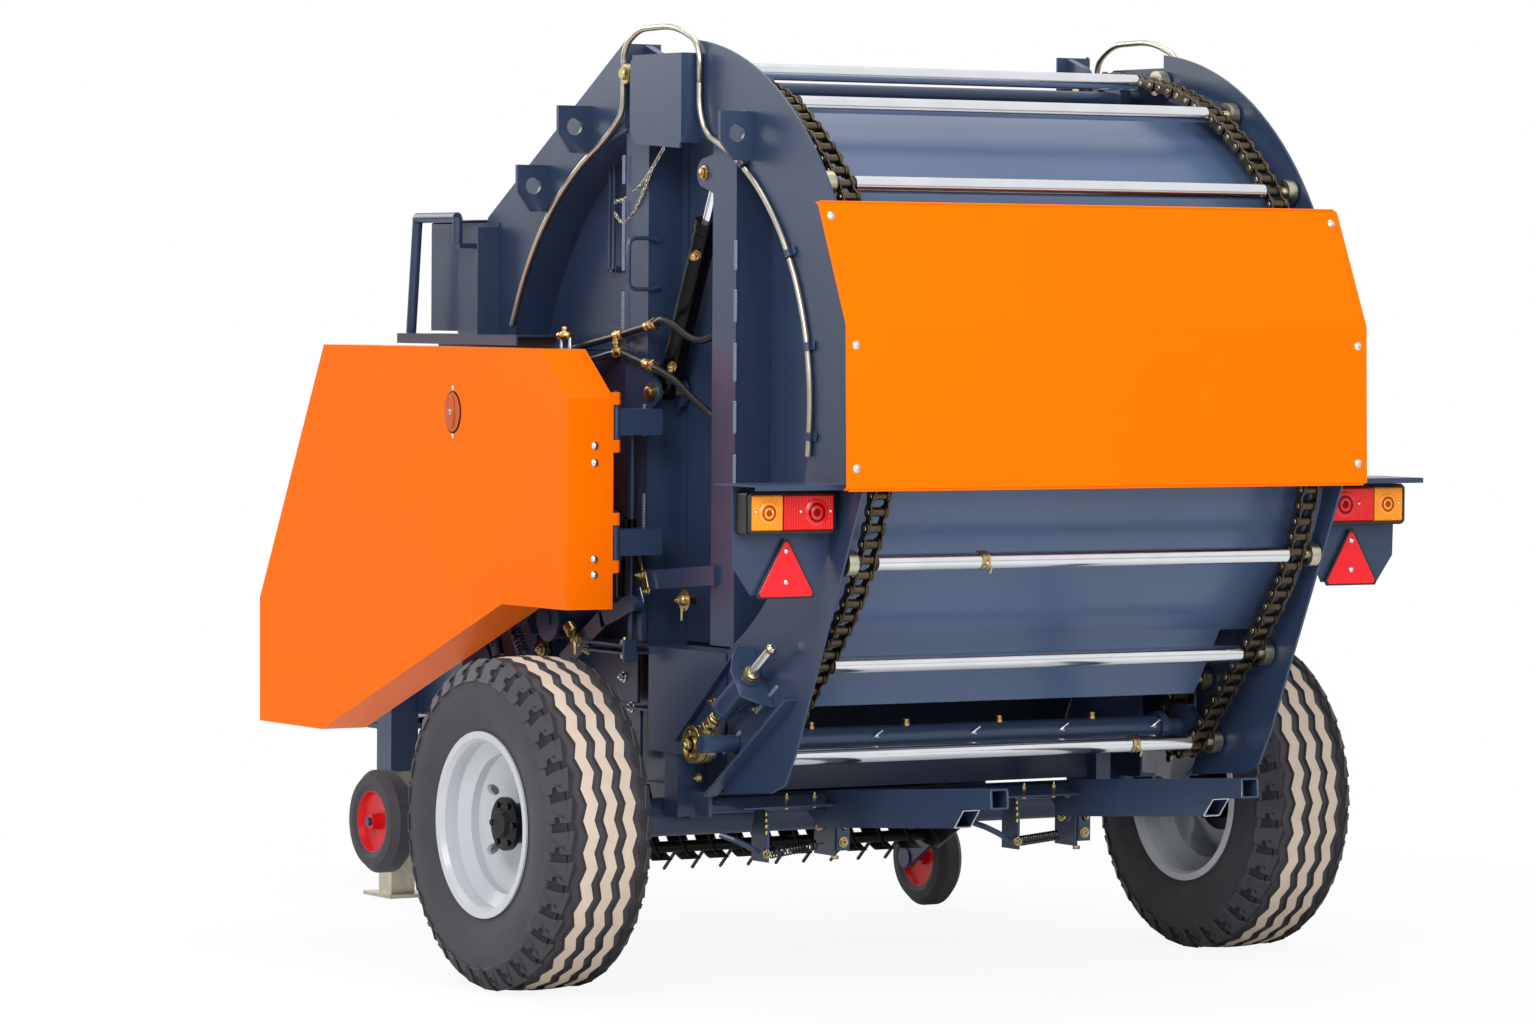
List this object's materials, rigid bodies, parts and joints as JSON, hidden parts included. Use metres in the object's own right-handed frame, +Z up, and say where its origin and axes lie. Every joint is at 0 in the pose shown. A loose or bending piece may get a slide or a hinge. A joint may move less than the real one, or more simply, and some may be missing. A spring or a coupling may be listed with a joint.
{
  "type": "round baler",
  "caption": "Towed round baler with a tailgate on side cylinders, slat conveyor, side covers, pickup, drawbar and jack.",
  "frame": {"origin": "middle of the machine's length and width, on the ground", "axes": "+X forwards to the hitch, +Y to the machine's left, +Z up"},
  "size_m": [3.6317, 2.206, 2.199],
  "materials": {
    "blue_paint": "semi-gloss",
    "orange_paint": "semi-gloss",
    "red_paint": "semi-gloss",
    "rim_grey": "satin",
    "black_paint": "satin",
    "chrome_bar": "polished",
    "chain_steel": "oiled",
    "zinc": "satin",
    "steel": "satin",
    "tyre": "matte",
    "lens_red": "gloss",
    "lens_amber": "gloss",
    "lamp_black": "matte",
    "reflex_red": "gloss"
  },
  "bodies": {
    "chassis": {"chassis_frame": "blue_paint", "front_side_left": "blue_paint", "front_side_right": "blue_paint", "front_wrap": "blue_paint", "pivot_pins": "zinc", "cover_brackets": "blue_paint", "drawbar": "blue_paint", "jack_tube": "blue_paint", "gearbox": "black_paint", "side_drive": "blue_paint", "twine_box": "blue_paint", "twine_shelves": "blue_paint", "conduit_chassis": "steel", "conduit_loop": "steel"},
    "tailgate": {"gate_sides": "blue_paint", "gate_wrap": "blue_paint", "rear_panel": "orange_paint", "lamp_brackets": "blue_paint", "lamp_housings": "lamp_black", "lamp_lenses_amber": "lens_amber", "lamp_lenses_red": "lens_red", "warning_triangles": "reflex_red", "slat_chains": "chain_steel", "slats": "chrome_bar", "slat_rollers": "chain_steel", "conveyor_shafts": "chain_steel", "chain_tensioners": "blue_paint", "wing_flanges": "blue_paint", "gate_latches": "blue_paint", "conduit_gate": "steel"},
    "wheel_left": {"tyre_left": "tyre", "rim_left": "rim_grey", "hub_left": "black_paint"},
    "wheel_right": {"tyre_right": "tyre", "rim_right": "rim_grey", "hub_right": "black_paint"},
    "cover_left": {"cover_left": "orange_paint"},
    "cover_right": {"cover_right": "orange_paint"},
    "pickup": {"pickup_frame": "blue_paint", "pickup_strippers": "zinc"},
    "pickup_reel": {"pickup_reel": "steel"},
    "gauge_wheel_left": {"gauge_tyre_left": "tyre", "gauge_rim_left": "red_paint"},
    "gauge_wheel_right": {"gauge_tyre_right": "tyre", "gauge_rim_right": "red_paint"},
    "jack_leg": {"jack_leg": "steel"},
    "input_shaft": {"input_shaft": "steel"},
    "twine_lid": {"twine_lid": "blue_paint"},
    "bale_ramp": {"bale_ramp": "blue_paint"},
    "cylinder_barrel_left": {"cylinder_barrel_left": "black_paint"},
    "cylinder_barrel_right": {"cylinder_barrel_right": "black_paint"},
    "cylinder_rod_left": {"cylinder_rod_left": "chrome_bar"},
    "cylinder_rod_right": {"cylinder_rod_right": "chrome_bar"}
  },
  "joints": [
    {"name": "tailgate_hinge", "type": "hinge", "parent": "chassis", "child": "tailgate", "pos_m": [-0.765, 0, 2.088], "axis": [0, 1, 0], "range_deg": [0, 60], "deforming": ["conduit_loop"]},
    {"name": "wheel_left_spin", "type": "hinge", "parent": "chassis", "child": "wheel_left", "pos_m": [-0.835, 0.971, 0.38], "axis": [0, 1, 0], "continuous": true},
    {"name": "wheel_right_spin", "type": "hinge", "parent": "chassis", "child": "wheel_right", "pos_m": [-0.835, -0.971, 0.38], "axis": [0, 1, 0], "continuous": true},
    {"name": "cover_left_hinge", "type": "hinge", "parent": "chassis", "child": "cover_left", "pos_m": [-0.869, 0.766, 1], "axis": [0, 0, 1], "range_deg": [0, 100]},
    {"name": "cover_right_hinge", "type": "hinge", "parent": "chassis", "child": "cover_right", "pos_m": [-0.869, -0.766, 1], "axis": [0, 0, -1], "range_deg": [0, 100]},
    {"name": "twine_lid_hinge", "type": "hinge", "parent": "chassis", "child": "twine_lid", "pos_m": [-0.027, 0, 1.762], "axis": [0, -1, 0], "range_deg": [0, 95]},
    {"name": "jack_slide", "type": "slide", "parent": "chassis", "child": "jack_leg", "axis": [0, 0, 1], "range_m": [0, 0.26]},
    {"name": "pickup_lift", "type": "hinge", "parent": "chassis", "child": "pickup", "pos_m": [-0.585, 0, 0.62], "axis": [0, -1, 0], "range_deg": [0, 8]},
    {"name": "reel_spin", "type": "hinge", "parent": "pickup", "child": "pickup_reel", "pos_m": [-0.235, 0, 0.335], "axis": [0, 1, 0], "continuous": true},
    {"name": "gauge_left_spin", "type": "hinge", "parent": "pickup", "child": "gauge_wheel_left", "pos_m": [0.163, 0.815, 0.3], "axis": [0, 1, 0], "continuous": true},
    {"name": "gauge_right_spin", "type": "hinge", "parent": "pickup", "child": "gauge_wheel_right", "pos_m": [0.242, -0.815, 0.138], "axis": [0, 1, 0], "continuous": true},
    {"name": "input_spin", "type": "hinge", "parent": "chassis", "child": "input_shaft", "pos_m": [0.345, 0, 0.785], "axis": [1, 0, 0], "continuous": true},
    {"name": "ramp_hinge", "type": "hinge", "parent": "chassis", "child": "bale_ramp", "pos_m": [-1.025, 0, 0.418], "axis": [0, -1, 0], "range_deg": [0, 18], "stiffness_Nm_per_rad": 600, "springref_deg": -20.05},
    {"name": "cylinder_left_swing", "type": "hinge", "parent": "chassis", "child": "cylinder_barrel_left", "pos_m": [-0.824, 0.604, 1.358], "axis": [0, 1, 0], "range_deg": [0, 7]},
    {"name": "cylinder_left_stroke", "type": "slide", "parent": "cylinder_barrel_left", "child": "cylinder_rod_left", "axis": [-0.4186, 0, 0.9082], "range_m": [0, 0.37]},
    {"name": "cylinder_right_swing", "type": "hinge", "parent": "chassis", "child": "cylinder_barrel_right", "pos_m": [-0.824, -0.604, 1.358], "axis": [0, 1, 0], "range_deg": [0, 7]},
    {"name": "cylinder_right_stroke", "type": "slide", "parent": "cylinder_barrel_right", "child": "cylinder_rod_right", "axis": [-0.4186, 0, 0.9082], "range_m": [0, 0.37]}
  ],
  "couplings": [
    {"joint": "cylinder_left_swing", "follows": "tailgate_hinge", "ratio": 0.1079},
    {"joint": "cylinder_left_stroke", "follows": "tailgate_hinge", "m_per_rad": 0.345},
    {"joint": "cylinder_right_swing", "follows": "tailgate_hinge", "ratio": 0.1079},
    {"joint": "cylinder_right_stroke", "follows": "tailgate_hinge", "m_per_rad": 0.345}
  ]
}
